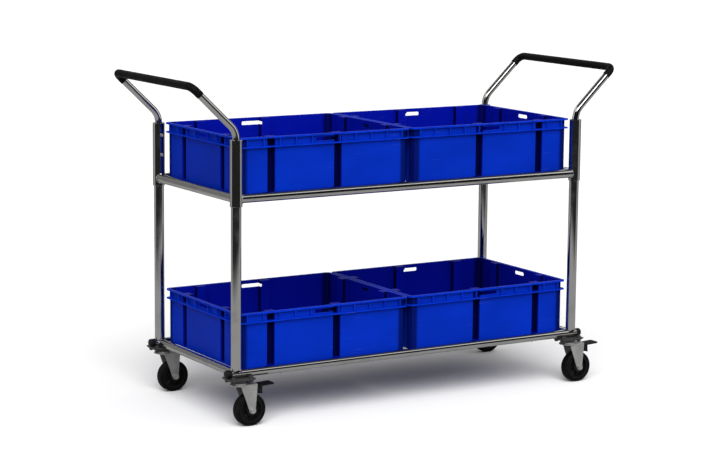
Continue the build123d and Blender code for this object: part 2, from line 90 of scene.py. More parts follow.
MM = 0.001
FULL_TURN = 2 * math.pi
PICTURE_WIDTH = 36.0
UP = Vector((0, 0, 1))
RIGHT = Vector((1, 0, 0))
BACK = Vector((0, 1, 0))


def middle(node):
    """The centre of a CAD node's box."""
    low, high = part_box(node)
    return (low + high) / 2


def span(node):
    """The size of a CAD node's box."""
    low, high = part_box(node)
    return high - low


# Settings


class TrolleyColours(bpy.types.PropertyGroup):
    """Colours of the finishes"""

    crate_blue: FloatVectorProperty(
        name="Crate blue", description="Moulded colour of the crates",
        subtype="COLOR", size=4, min=0, max=1, default=(0.0006, 0.0235, 0.415, 1))
    # Painted shade: the darker, less green blue that the crates' inner faces are painted with, for the shade
    # inside the crates.
    crate_inside_shade: FloatVectorProperty(
        name="Crate inside", description="Deeper blue of the crates' inner faces",
        subtype="COLOR", size=4, min=0, max=1, default=(0.0009, 0.0055, 0.30, 1))
    tube_chrome: FloatVectorProperty(
        name="Tube chrome", description="Plating on the tubes",
        subtype="COLOR", size=4, min=0, max=1, default=(0.56, 0.555, 0.54, 1))
    zinc: FloatVectorProperty(
        name="Zinc", description="Plating on the forks, plates and fixings",
        subtype="COLOR", size=4, min=0, max=1, default=(0.42, 0.42, 0.41, 1))
    plastic_black: FloatVectorProperty(
        name="Black plastic", description="Moulded black parts",
        subtype="COLOR", size=4, min=0, max=1, default=(0.005, 0.005, 0.0055, 1))
    painted_black: FloatVectorProperty(
        name="Black paint", description="Paint on the caster plates",
        subtype="COLOR", size=4, min=0, max=1, default=(0.036, 0.036, 0.037, 1))
    rubber_black: FloatVectorProperty(
        name="Black rubber", description="Tyres and grips",
        subtype="COLOR", size=4, min=0, max=1, default=(0.003, 0.003, 0.003, 1))
    bush_ivory: FloatVectorProperty(
        name="Bush ivory", description="Plain bearing bushes",
        subtype="COLOR", size=4, min=0, max=1, default=(0.62, 0.60, 0.52, 1))
    floor_pale: FloatVectorProperty(
        name="Floor", description="Studio floor",
        subtype="COLOR", size=4, min=0, max=1, default=(0.95, 0.95, 0.95, 1))


class TrolleySizes(bpy.types.PropertyGroup):
    """Sizes of what is added to the frame"""

    crate_edge: FloatProperty(
        name="Crate edge", description="Round on the crates' moulded edges",
        subtype="DISTANCE", unit="LENGTH", default=0.8 * MM)
    rim_overhang: FloatProperty(
        name="Rim overhang", description="How far the crates' rims stand out from their walls",
        subtype="DISTANCE", unit="LENGTH", default=9.0 * MM)
    metal_edge: FloatProperty(
        name="Metal edge", description="Round on pressed and turned metal",
        subtype="DISTANCE", unit="LENGTH", default=0.5 * MM)
    fork_edge: FloatProperty(
        name="Fork edge", description="Round on the caster forks' edges",
        subtype="DISTANCE", unit="LENGTH", default=0.9 * MM)
    pedal_edge: FloatProperty(
        name="Pedal edge", description="Round on the brake pedals' edges",
        subtype="DISTANCE", unit="LENGTH", default=0.9 * MM)
    bead: FloatProperty(
        name="Weld bead", description="Radius of the weld beads",
        subtype="DISTANCE", unit="LENGTH", default=2.0 * MM)
    tyre_shoulder: FloatProperty(
        name="Tyre shoulder", description="Round on the tyres' shoulders",
        subtype="DISTANCE", unit="LENGTH", default=6.0 * MM)
    wheel_ribs: IntProperty(
        name="Wheel ribs", description="Ribs on each face of a wheel", default=8, min=3, max=24)
    pedal_ribs: IntProperty(
        name="Pedal ribs", description="Raised bars across a brake pedal", default=5, min=2, max=9)


class TrolleyStage(bpy.types.PropertyGroup):
    """Camera and light"""

    lens: FloatProperty(
        name="Lens", description="Focal length for a picture 36 mm wide, in millimetres", default=112.22)
    distance: FloatProperty(
        name="Distance", description="From the camera to what it aims at",
        subtype="DISTANCE", unit="LENGTH", default=7.095)
    yaw: FloatProperty(
        name="Yaw", description="Turn of the view about the upright axis",
        subtype="ANGLE", unit="ROTATION", default=math.radians(31.14))
    pitch: FloatProperty(
        name="Pitch", description="Tilt of the view below level",
        subtype="ANGLE", unit="ROTATION", default=math.radians(9.164))
    roll: FloatProperty(
        name="Roll", description="Turn of the picture",
        subtype="ANGLE", unit="ROTATION", default=math.radians(0.500))
    aim_height: FloatProperty(
        name="Aim height", description="Height of the point that the view is hung on",
        subtype="DISTANCE", unit="LENGTH", default=0.480)
    slide: FloatVectorProperty(
        name="Slide", description="How far the view is slid right and up",
        subtype="TRANSLATION", unit="LENGTH", size=2, default=(-0.0560, 0.0386))
    front_fill: FloatProperty(
        name="Front fill", description="Level of the soft light from the front half of the studio",
        default=0.84)
    rear_fill: FloatProperty(
        name="Rear fill", description="Level of the soft light from the rear half of the studio",
        default=0.30)
    key: FloatProperty(
        name="Key", description="Level of the soft main light on the floor", default=0.60)
    key_turn: FloatProperty(
        name="Key turn", description="Where the main light stands, from the front towards the right",
        subtype="ANGLE", unit="ROTATION", default=math.radians(-27))
    key_height: FloatProperty(
        name="Key height", description="How high the main light stands",
        subtype="ANGLE", unit="ROTATION", default=math.radians(44))
    key_softness: FloatProperty(
        name="Key softness", description="Width of the main light",
        subtype="ANGLE", unit="ROTATION", default=math.radians(45))
    floor_cloth: FloatProperty(
        name="Floor cloth", description="How light the cloth all round on the floor is",
        min=0, max=1, default=0.38)
    front_cloth: FloatProperty(
        name="Front cloth", description="How light the far part of the cloth before the trolley is",
        min=0, max=1, default=0.02)
    rear_cloth: FloatProperty(
        name="Rear cloth", description="How light the far part of the cloth behind the trolley is",
        min=0, max=1, default=0.24)
    roof_cloth: FloatProperty(
        name="Roof cloth", description="How light the cloth overhead is", min=0, max=1, default=0.13)
    cloth_start: FloatProperty(
        name="Cloth start", description="Where the front and rear cloths start to darken",
        subtype="DISTANCE", unit="LENGTH", default=2.3)
    cloth_dark: FloatProperty(
        name="Cloth dark", description="Where the front and rear cloths are at their darkest",
        subtype="DISTANCE", unit="LENGTH", default=3.6)
    cloth_sweep: FloatProperty(
        name="Cloth sweep", description="How far round the trolley the front and rear cloths reach",
        subtype="ANGLE", unit="ROTATION", default=math.radians(150))


class TrolleySettings(bpy.types.PropertyGroup):
    """Everything a user would change"""

    colours: PointerProperty(type=TrolleyColours, name="Colours", description="Colours of the finishes")
    sizes: PointerProperty(type=TrolleySizes, name="Sizes", description="Sizes of what is added")
    stage: PointerProperty(type=TrolleyStage, name="Stage", description="Camera and light")


# Finishes


class Wire:
    """A socket in a node tree. Sums on wires add Math nodes, and node() adds any other node."""

    def __init__(self, tree, socket=None):
        self.tree = tree
        self.socket = socket

    def node(self, kind, settings=None, inputs=None, output=0):
        """A node of that kind: its settings are set first, then its sockets get values or links."""
        made = self.tree.nodes.new(kind)
        for name, value in (settings or {}).items():
            setattr(made, name, value)
        for name, value in (inputs or {}).items():
            if isinstance(value, Wire):
                self.tree.links.new(value.socket, made.inputs[name])
            else:
                made.inputs[name].default_value = value
        return Wire(self.tree, made.outputs[output]) if len(made.outputs) else self

    def maths(self, operation, first, second):
        """One Math node on wires or numbers."""
        return self.node("ShaderNodeMath", {"operation": operation}, {0: first, 1: second})

    def __add__(self, other):
        return self.maths("ADD", self, other)

    def __radd__(self, other):
        return self.maths("ADD", other, self)

    def __sub__(self, other):
        return self.maths("SUBTRACT", self, other)

    def __rsub__(self, other):
        return self.maths("SUBTRACT", other, self)

    def __mul__(self, other):
        return self.maths("MULTIPLY", self, other)

    def __rmul__(self, other):
        return self.maths("MULTIPLY", other, self)

    def most(self, other):
        """The larger of the two."""
        return self.maths("MAXIMUM", self, other)

    def least(self, other):
        """The smaller of the two."""
        return self.maths("MINIMUM", self, other)

    def __abs__(self):
        return self.maths("ABSOLUTE", self, 0.0)

    def along(self, axis):
        """This place's X, Y or Z."""
        return self.node("ShaderNodeSeparateXYZ", {}, {"Vector": self}, axis)

    def length(self):
        """How far this place is from the origin."""
        return self.node("ShaderNodeVectorMath", {"operation": "LENGTH"}, {0: self}, "Value")

    def ramp(self, low, high):
        """0 below low, 1 above high and a smooth step between."""
        return self.node(
            "ShaderNodeMapRange", {"interpolation_type": "SMOOTHSTEP"},
            {"Value": self, "From Min": low, "From Max": high})

    def blend(self, first, second):
        """The first colour where this wire is 0, the second where it is 1."""
        return self.node(
            "ShaderNodeMix", {"data_type": "RGBA"},
            {0: self, 6: first, 7: second}, 2)

    def noise(self, scale, detail=2.0, roughness=0.5):
        """Noise read at this wire's place, with that many lumps to the metre."""
        return self.node(
            "ShaderNodeTexNoise", {},
            {"Vector": self, "Scale": scale, "Detail": detail, "Roughness": roughness})

    def cells(self, scale, output="Distance"):
        """Cells read at this wire's place: how far off a cell's middle is, or the cell's colour."""
        return self.node("ShaderNodeTexVoronoi", {}, {"Vector": self, "Scale": scale}, output)

    def stretched(self, scale):
        """This place, scaled along each axis."""
        return self.node("ShaderNodeMapping", {}, {"Vector": self, "Scale": scale})

    def bump(self, height, distance, strength):
        """This normal, or the surface's own, raised by height."""
        inputs = {"Height": height, "Distance": distance, "Strength": strength}
        if self.socket:
            inputs["Normal"] = self
        return self.node("ShaderNodeBump", {}, inputs)


def new_sheet(name):
    """An empty material and its tree."""
    material = bpy.data.materials.new(name)
    material.use_nodes = True
    material.node_tree.nodes.clear()
    return material, Wire(material.node_tree)


def object_place(sheet):
    """Where a point lies on the trolley, since every object sits at the origin."""
    return sheet.node("ShaderNodeTexCoord", output="Object")


def shade(sheet, inputs):
    """Ends a material in one shader with those inputs."""
    shader = sheet.node("ShaderNodeBsdfPrincipled", {}, inputs)
    sheet.node("ShaderNodeOutputMaterial", {}, {"Surface": shader})


def tone(colour, factor):
    """A colour made darker or lighter."""
    return (*[min(1.0, part * factor) for part in colour[:3]], 1.0)


def towards(colour, other, share):
    """A colour moved by that share of the way to another."""
    return (*[a + (b - a) * share for a, b in zip(colour[:3], other[:3])], 1.0)


GREY_DUST = (0.30, 0.29, 0.27, 1.0)
WHITE = (1.0, 1.0, 1.0, 1.0)


def chrome_tube(colours):
    """Bright plating with hand smears, a polishing haze and a few dull pits."""
    material, sheet = new_sheet("chrome_tube_finish")
    place = object_place(sheet)
    smear = place.noise(scale=13.0, detail=4.0, roughness=0.6).ramp(0.45, 0.72)
    haze = place.noise(scale=170.0, detail=2.0)
    spots = 1 - place.cells(scale=240.0).ramp(0.05, 0.11)
    pits = spots * place.noise(scale=9.0, detail=2.0).ramp(0.52, 0.66)
    plating = smear.blend(tuple(colours.tube_chrome), tone(colours.tube_chrome, 0.86))
    shade(sheet, {
        "Base Color": (pits * 0.7).blend(plating, tone(colours.tube_chrome, 0.32)),
        "Metallic": 1.0,
        "Roughness": 0.05 + 0.10 * smear + 0.04 * haze + 0.25 * pits,
        "Normal": sheet.bump(place.noise(scale=700.0, detail=2.0), distance=0.1 * MM, strength=0.05),
    })
    return material


def zinc_steel(colours):
    """Zinc plate with a faint spangle, a dull bloom and fine rub marks."""
    material, sheet = new_sheet("zinc_steel_finish")
    place = object_place(sheet)
    spangle = place.cells(scale=210.0, output="Color")
    bloom = place.noise(scale=38.0, detail=4.0, roughness=0.62).ramp(0.40, 0.70)
    level_streaks = place.stretched((60.0, 60.0, 900.0))
    rubs = level_streaks.noise(scale=1.0, detail=3.0).ramp(0.58, 0.68)
    plate = (0.45 * spangle).blend(tuple(colours.zinc), tone(colours.zinc, 0.74))
    shade(sheet, {
        "Base Color": (0.5 * bloom).blend(plate, towards(colours.zinc, GREY_DUST, 0.6)),
        "Metallic": 0.72 - 0.30 * bloom,
        "Roughness": 0.27 + 0.16 * bloom + 0.06 * spangle + 0.10 * rubs,
        "Normal": sheet.bump(place.noise(scale=520.0, detail=3.0), distance=0.15 * MM, strength=0.12),
    })
    return material


def black_steel(colours):
    """Black paint with orange peel and a few rubbed spots."""
    material, sheet = new_sheet("black_steel_finish")
    place = object_place(sheet)
    rubbed = place.noise(scale=120.0, detail=4.0, roughness=0.65).ramp(0.60, 0.72)
    dust = place.noise(scale=26.0, detail=4.0).ramp(0.45, 0.75)
    paint = (0.35 * dust).blend(
        tuple(colours.painted_black), towards(colours.painted_black, GREY_DUST, 0.16))
    shade(sheet, {
        "Base Color": (0.6 * rubbed).blend(paint, tone(colours.painted_black, 2.2)),
        "Roughness": 0.34 + 0.18 * dust + 0.10 * rubbed,
        "Specular IOR Level": 0.35,
        "Normal": sheet.bump(place.noise(scale=420.0, detail=2.0), distance=0.2 * MM, strength=0.18),
    })
    return material


def black_plastic(colours):
    """Moulded black with a fine spark grain and grey scuffs."""
    material, sheet = new_sheet("black_plastic_finish")
    place = object_place(sheet)
    scuff = place.noise(scale=75.0, detail=5.0, roughness=0.68).ramp(0.58, 0.74)
    shade(sheet, {
        "Base Color": (0.25 * scuff).blend(
            tuple(colours.plastic_black), towards(colours.plastic_black, GREY_DUST, 0.16)),
        "Roughness": 0.40 + 0.22 * scuff + 0.06 * place.noise(scale=900.0, detail=1.0),
        "Specular IOR Level": 0.16,
        "Normal": sheet.bump(place.noise(scale=1500.0, detail=2.0), distance=0.1 * MM, strength=0.30),
    })
    return material


def black_grip(colours):
    """Soft sleeve with a fine pebble grain, polished where hands rub it."""
    material, sheet = new_sheet("black_grip_finish")
    place = object_place(sheet)
    polish = place.noise(scale=16.0, detail=3.0).ramp(0.40, 0.66)
    shade(sheet, {
        "Base Color": polish.blend(tone(colours.rubber_black, 1.5), tuple(colours.rubber_black)),
        "Roughness": 0.58 - 0.18 * polish,
        "Specular IOR Level": 0.06,
        "Normal": sheet.bump(place.cells(scale=900.0), distance=0.15 * MM, strength=0.25),
    })
    return material


def tyre_rubber(colours):
    """Black rubber with floor dust on the tread and a fine mould grain."""
    material, sheet = new_sheet("tyre_finish")
    place = object_place(sheet)
    dust = place.noise(scale=90.0, detail=5.0, roughness=0.66).ramp(0.50, 0.74)
    shade(sheet, {
        "Base Color": (0.20 * dust).blend(
            tuple(colours.rubber_black), towards(colours.rubber_black, GREY_DUST, 0.12)),
        "Roughness": 0.56 + 0.24 * dust,
        "Specular IOR Level": 0.08,
        "Normal": sheet.bump(place.noise(scale=800.0, detail=3.0), distance=0.15 * MM, strength=0.30),
    })
    return material


def bush_plastic(colours):
    """Ivory bush with a faint swirl and grease at its ends."""
    material, sheet = new_sheet("bush_plastic_finish")
    place = object_place(sheet)
    grease = place.noise(scale=140.0, detail=4.0).ramp(0.46, 0.70)
    shade(sheet, {
        "Base Color": (0.6 * grease).blend(tuple(colours.bush_ivory), tone(colours.bush_ivory, 0.35)),
        "Roughness": 0.44 - 0.16 * grease,
        "Normal": sheet.bump(place.noise(scale=700.0, detail=2.0), distance=0.1 * MM, strength=0.15),
    })
    return material


def depths_in_crate(place):
    """How far a place lies inside the outer planes of its crate's nearest end and side walls."""
    overhang = bpy.context.scene.trolley.sizes.rim_overhang
    half = span(CRATES[0]) / 2
    end_depth = half.x - overhang - abs(abs(place.along("X")) - abs(middle(CRATES[0]).x))
    side_depth = half.y - overhang - abs(place.along("Y"))
    return end_depth, side_depth


def blue_plastic(colours):
    """Moulded blue: a fine grain, slight sink waves, flow tone and sliding scuffs along the walls.
    The rims are lighter in patches, partly rubbed and partly a painted highlight; the inner faces carry a
    painted shade of deeper blue, and the recessed columns and upright corners carry a painted shade of near
    black, though not on their level faces. The ranges of depth say where each of these fades in or out, and
    level_faces says the same of how far a face is from upright."""
    rim_faces = (-8.0 * MM, -6.0 * MM)
    inner_faces = (1.0 * MM, 2.0 * MM)
    column_mouths = (3.5 * MM, 10.0 * MM)
    column_backs = (20.5 * MM, 22.0 * MM)
    corner_faces = (-2.0 * MM, -0.5 * MM)
    corner_reach = (18.0 * MM, 30.0 * MM)
    level_faces = (0.35, 0.75)

    material, sheet = new_sheet("blue_plastic_finish")
    place = object_place(sheet)
    flow = place.stretched((2.4, 2.4, 5.0)).noise(scale=1.6, detail=3.0, roughness=0.55).ramp(0.32, 0.70)
    patch = place.noise(scale=7.0, detail=3.0).ramp(0.48, 0.68)
    streaks = place.stretched((9.0, 9.0, 420.0)).noise(scale=1.0, detail=4.0, roughness=0.6)
    scuff = streaks.ramp(0.63, 0.72) * patch
    spots = 1 - place.cells(scale=95.0).ramp(0.05, 0.12)
    nicks = spots * place.noise(scale=21.0, detail=2.0).ramp(0.58, 0.70)
    moulded = flow.blend(tone(colours.crate_blue, 0.88), tone(colours.crate_blue, 1.08))

    end_depth, side_depth = depths_in_crate(place)
    depth = end_depth.least(side_depth)
    # Painted shade: the inner faces are painted a darker blue for the shade inside the crates.
    inside_shaded = depth.ramp(*inner_faces).blend(moulded, tuple(colours.crate_inside_shade))
    # The rims are painted lighter in patches: partly rubbing, partly a painted highlight along the rims.
    rubs = place.noise(scale=34.0, detail=3.0).ramp(0.30, 0.62)
    rim_rubs_and_highlight = (1 - depth.ramp(*rim_faces)) * rubs
    rimmed = (0.5 * rim_rubs_and_highlight).blend(inside_shaded, tone(colours.crate_blue, 1.7))
    worn = (0.22 * scuff).most(0.26 * nicks).blend(rimmed, towards(colours.crate_blue, WHITE, 0.28))

    # Painted shade: the recessed columns and the upright corners are painted near black off their level
    # faces, for the shade in the grooves and beside the uprights; the same mask makes them rougher.
    in_column = depth.ramp(*column_mouths) * (1 - depth.ramp(*column_backs))
    off_corner = end_depth.most(side_depth).ramp(*corner_reach)
    in_corner = depth.ramp(*corner_faces) * (1 - off_corner)
    level = abs(sheet.node("ShaderNodeTexCoord", output="Normal").along("Z")).ramp(*level_faces)
    painted_shade = in_column.most(0.85 * in_corner) * (1 - level)
    waves = sheet.bump(place.noise(scale=11.0, detail=2.0), distance=6.0 * MM, strength=0.05)
    shade(sheet, {
        "Base Color": (0.9 * painted_shade).blend(worn, tone(colours.crate_inside_shade, 0.06)),
        "Roughness": 0.33 + 0.07 * flow + 0.16 * scuff + 0.10 * nicks + 0.3 * painted_shade,
        "Specular IOR Level": 0.03,
        "Normal": waves.bump(place.noise(scale=1300.0, detail=2.0), distance=0.12 * MM, strength=0.16),
    })
    return material


FINISH_MAKERS = {
    "chrome_tube": chrome_tube,
    "zinc_steel": zinc_steel,
    "black_steel": black_steel,
    "black_plastic": black_plastic,
    "black_grip": black_grip,
    "tyre": tyre_rubber,
    "bush_plastic": bush_plastic,
    "blue_plastic": blue_plastic,
}
made_finishes = {}


def finish_for(slot):
    """The material of a slot, made once."""
    if slot not in made_finishes:
        made_finishes[slot] = FINISH_MAKERS[slot](bpy.context.scene.trolley.colours)
    return made_finishes[slot]


def dress(node):
    """Gives a CAD node that stays in view the finish of its slot."""
    for place in NODES[node].material_slots:
        place.material = finish_for(SLOT_OF[node])


# Modelling


SHADING_CREASE = math.radians(38)
ROUNDED_CREASE = math.radians(28)
FLAT = math.radians(0.4)
MERGE = 0.004 * MM
ON_HOOP = 0.05 * MM
WHEEL_STEPS = 72


def set_out(bm, name, material):
    """Makes a finished bmesh an object at the origin, in that material."""
    mesh = bpy.data.meshes.new(name)
    bm.to_mesh(mesh)
    bm.free()
    mesh.materials.append(material)
    made = bpy.data.objects.new(name, mesh)
    bpy.context.scene.collection.objects.link(made)
    return made


def add_piece(bm, name, body, slot, replaced=()):
    """Sets a piece of the trolley out, on its body and in its finish."""
    for face in bm.faces:
        face.smooth = True
    for edge in bm.edges:
        edge.smooth = not (edge.is_manifold and edge.calc_face_angle() > SHADING_CREASE)
    piece = set_out(bm, name, finish_for(slot))
    weights = piece.modifiers.new("Face weights", "WEIGHTED_NORMAL")
    weights.keep_sharp = True
    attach(piece, body)
    if replaced:
        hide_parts(*replaced)


def sharp_edges(bm):
    """The edges that get rounded over."""
    return [edge for edge in bm.edges if edge.is_manifold and edge.calc_face_angle() > ROUNDED_CREASE]


def round_over(bm, edges, width, segments=2):
    """Bevels edges to a round of that width."""
    bmesh.ops.bevel(
        bm, geom=edges, offset=width, offset_type="OFFSET", segments=segments,
        profile=0.5, affect="EDGES", clamp_overlap=True, material=-1)


def merged_copy(node):
    """A copy of a CAD node's mesh, merged and with its flat faces made whole."""
    bm = bmesh.new()
    bm.from_mesh(NODES[node].data)
    bmesh.ops.remove_doubles(bm, verts=bm.verts, dist=MERGE)
    bmesh.ops.dissolve_limit(bm, angle_limit=FLAT, verts=bm.verts, edges=bm.edges)
    return bm


def stand_in(bm, node):
    """Puts a finished bmesh in a CAD node's place."""
    add_piece(bm, f"{node}_shell", BODY_OF[node], SLOT_OF[node], [node])


def soften(node, width):
    """Stands a copy of a CAD node, with its sharp edges rounded over, in the node's place."""
    bm = merged_copy(node)
    round_over(bm, sharp_edges(bm), width)
    stand_in(bm, node)


def add_bar(bm, place, size, width, segments):
    """Adds a bar of that size at a place, with its edges rounded over."""
    made = bmesh.ops.create_cube(bm, size=1.0, matrix=place @ Matrix.Diagonal((*size, 1)))
    edges = {edge for vert in made["verts"] for edge in vert.link_edges}
    round_over(bm, list(edges), width, segments)


def spun_ring(bm, axle, profile):
    """Spins a closed profile of (radius, side) points about an axle along Y."""
    points = [bm.verts.new(axle + Vector((0, side, radius))) for radius, side in profile]
    edges = [bm.edges.new((a, b)) for a, b in zip(points, points[1:] + points[:1])]
    bmesh.ops.spin(
        bm, geom=points + edges, cent=axle, axis=BACK, angle=FULL_TURN, steps=WHEEL_STEPS, use_merge=True)
    bmesh.ops.remove_doubles(bm, verts=bm.verts, dist=MERGE)
    bmesh.ops.recalc_face_normals(bm, faces=bm.faces)


def hoop_edges(bm, axle, radius, side):
    """The edges of the hoop at that radius and side of an axle along Y."""
    def on_hoop(vert):
        out = vert.co - axle
        return abs(out.y - side) < ON_HOOP and abs(math.hypot(out.x, out.z) - radius) < ON_HOOP

    return [edge for edge in bm.edges if all(on_hoop(vert) for vert in edge.verts)]


def mirrored_profile(half):
    """A profile given from the bore to the tread on one side, with its other side."""
    return half + [(radius, -side) for radius, side in reversed(half)]


# Operators


class TROLLEY_OT_tubes(bpy.types.Operator):
    """Plates the tubes of the frame and its handles"""

    bl_idname = "trolley.tubes"
    bl_label = "Tubes"

    def execute(self, context):
        for node, slot in SLOT_OF.items():
            if slot == "chrome_tube":
                dress(node)
        return {"FINISHED"}


class TROLLEY_OT_grips(bpy.types.Operator):
    """Puts a rounded black sleeve on each push bar"""

    bl_idname = "trolley.grips"
    bl_label = "Grips"

    def execute(self, context):
        sleeve_edge = 0.35 * MM
        for side in SIDES:
            soften(f"grip_{side}", sleeve_edge)
        return {"FINISHED"}


class TROLLEY_OT_crates(bpy.types.Operator):
    """Moulds the four crates with rounded edges"""

    bl_idname = "trolley.crates"
    bl_label = "Crates"

    def execute(self, context):
        for crate in CRATES:
            soften(crate, context.scene.trolley.sizes.crate_edge)
        return {"FINISHED"}


class TROLLEY_OT_tyres(bpy.types.Operator):
    """Spins the tyres, with round shoulders and a raised ring on each side"""

    bl_idname = "trolley.tyres"
    bl_label = "Tyres"

    def execute(self, context):
        shoulder = context.scene.trolley.sizes.tyre_shoulder
        seat_gap = 0.05 * MM
        lip_height = 2.0 * MM
        lip_width = 0.8 * MM
        ring_height = 0.5 * MM
        ring_start = 2.6 * MM
        ring_end = 4.8 * MM
        ring_slope = 0.4 * MM
        shoulder_segments = 6
        for corner in CORNERS:
            node = f"tyre_{corner}"
            axle = middle(node)
            size = span(node)
            outer = size.z / 2
            half = size.y / 2
            flank = half - ring_height
            inner = span(f"wheel_core_{corner}").z / 2 + seat_gap
            bm = bmesh.new()
            spun_ring(bm, axle, mirrored_profile([
                (inner, half - lip_height),
                (inner + lip_width, flank),
                (inner + ring_start, flank),
                (inner + ring_start + ring_slope, half),
                (inner + ring_end - ring_slope, half),
                (inner + ring_end, flank),
                (outer, flank),
            ]))
            for side in (-flank, flank):
                tread_edge = hoop_edges(bm, axle, outer, side)
                round_over(bm, tread_edge, shoulder - ring_height, shoulder_segments)
            stand_in(bm, node)
        return {"FINISHED"}


class TROLLEY_OT_wheels(bpy.types.Operator):
    """Spins the wheel centres and ribs them between hub and rim"""

    bl_idname = "trolley.wheels"
    bl_label = "Wheel centres"

    def execute(self, context):
        count = context.scene.trolley.sizes.wheel_ribs
        bush_gap = 0.06 * MM
        hub = 18.0 * MM
        hub_slope = 1.0 * MM
        rim_depth = 6.0 * MM
        rim_slope = 0.6 * MM
        rim_half = 15.0 * MM
        web_half = 4.5 * MM
        core_edge = 0.7 * MM
        rib_edge = 0.6 * MM
        rib_width = 3.0 * MM
        rib_height = 6.0 * MM
        rib_sunk = 0.5 * MM
        rib_overlap = 1.2 * MM
        for corner in CORNERS:
            node = f"wheel_core_{corner}"
            axle = middle(node)
            size = span(node)
            outer = size.z / 2
            hub_half = size.y / 2
            rim = outer - rim_depth
            bore = span(f"axle_bush_{corner}").z / 2 + bush_gap
            bm = bmesh.new()
            spun_ring(bm, axle, mirrored_profile([
                (bore, hub_half),
                (hub - hub_slope, hub_half),
                (hub, web_half),
                (rim - rim_slope, web_half),
                (rim + rim_slope, rim_half),
                (outer, rim_half),
            ]))
            round_over(bm, sharp_edges(bm), core_edge)
            rib_size = (rib_width, rib_height, rim - hub + 2 * rib_overlap)
            rib_out = web_half + rib_height / 2 - rib_sunk
            for number in range(count):
                turn = Matrix.Rotation(FULL_TURN * number / count, 4, BACK)
                for way in (-1, 1):
                    reach = Matrix.Translation((0, way * rib_out, (hub + rim) / 2))
                    add_bar(bm, Matrix.Translation(axle) @ turn @ reach, rib_size, rib_edge, 1)
            stand_in(bm, node)
        return {"FINISHED"}


class TROLLEY_OT_forks(bpy.types.Operator):
    """Presses the caster forks, with rounded edges"""

    bl_idname = "trolley.forks"
    bl_label = "Caster forks"

    def execute(self, context):
        for corner in CORNERS:
            soften(f"swivel_fork_{corner}", context.scene.trolley.sizes.fork_edge)
        return {"FINISHED"}


class TROLLEY_OT_pedals(bpy.types.Operator):
    """Moulds the brake pedals, with raised bars across the tread"""

    bl_idname = "trolley.pedals"
    bl_label = "Brake pedals"

    def execute(self, context):
        sizes = context.scene.trolley.sizes
        tread_slope = math.radians(-3)
        first_bar = 26.0 * MM
        last_bar = 63.0 * MM
        bar_above_pin = 7.1 * MM
        bar_size = (3.0 * MM, 32.0 * MM, 1.8 * MM)
        bar_edge = 0.5 * MM
        for corner in BRAKED:
            node = f"brake_pedal_{corner}"
            bm = merged_copy(node)
            round_over(bm, sharp_edges(bm), sizes.pedal_edge)
            pin = Matrix.Translation(middle(f"brake_pin_{corner}"))
            tread = pin @ Matrix.Rotation(tread_slope, 4, BACK)
            for number in range(sizes.pedal_ribs):
                along = first_bar + (last_bar - first_bar) * number / (sizes.pedal_ribs - 1)
                add_bar(bm, tread @ Matrix.Translation((along, 0, bar_above_pin)), bar_size, bar_edge, 2)
            stand_in(bm, node)
        return {"FINISHED"}


class TROLLEY_OT_fixings(bpy.types.Operator):
    """Finishes the plates, bolts, screws, pins, bushes and end caps"""

    bl_idname = "trolley.fixings"
    bl_label = "Plates and fixings"

    def execute(self, context):
        for node in SOFTENED_METAL:
            soften(node, context.scene.trolley.sizes.metal_edge)
        dress("rail_end_caps")
        for corner in CORNERS:
            dress(f"axle_bush_{corner}")
        return {"FINISHED"}


def bead_ring(bm, centre, along, across, radius, bead, lift):
    """A rippled weld bead round a tube: a ring spun about the tube's line, with each point of it
    moved along the tube by lift, which is given how far round the tube the point is."""
    section_corners = 7
    ring_steps = 64
    ripples = 16
    ripple_depth = 0.16
    third = along.cross(across)
    section_frame = Matrix((across, along, across.cross(along))).transposed().to_4x4()
    section_frame.translation = centre + across * radius
    section = bmesh.ops.create_circle(
        bm, cap_ends=False, segments=section_corners, radius=bead, matrix=section_frame)["verts"]
    before = set(bm.verts) - set(section)
    edges = {edge for vert in section for edge in vert.link_edges}
    bmesh.ops.spin(
        bm, geom=section + list(edges), cent=centre, axis=along, angle=FULL_TURN, steps=ring_steps,
        use_merge=True)
    for vert in set(bm.verts) - before:
        out = vert.co - centre
        turn = math.atan2(out.dot(third), out.dot(across))
        station = radius * (math.cos(turn) * across + math.sin(turn) * third)
        swell = 1 + ripple_depth * math.cos(ripples * turn)
        vert.co = centre + station + (out - station) * swell + along * lift(turn)


def saddle(main_radius, offset, radius, wave):
    """How far along a side tube its edge meets a main tube, at each turn round the side tube."""
    def lift(turn):
        reach = offset + radius * wave(turn)
        return math.sqrt(max(main_radius ** 2 - reach ** 2, 0.0))

    return lift


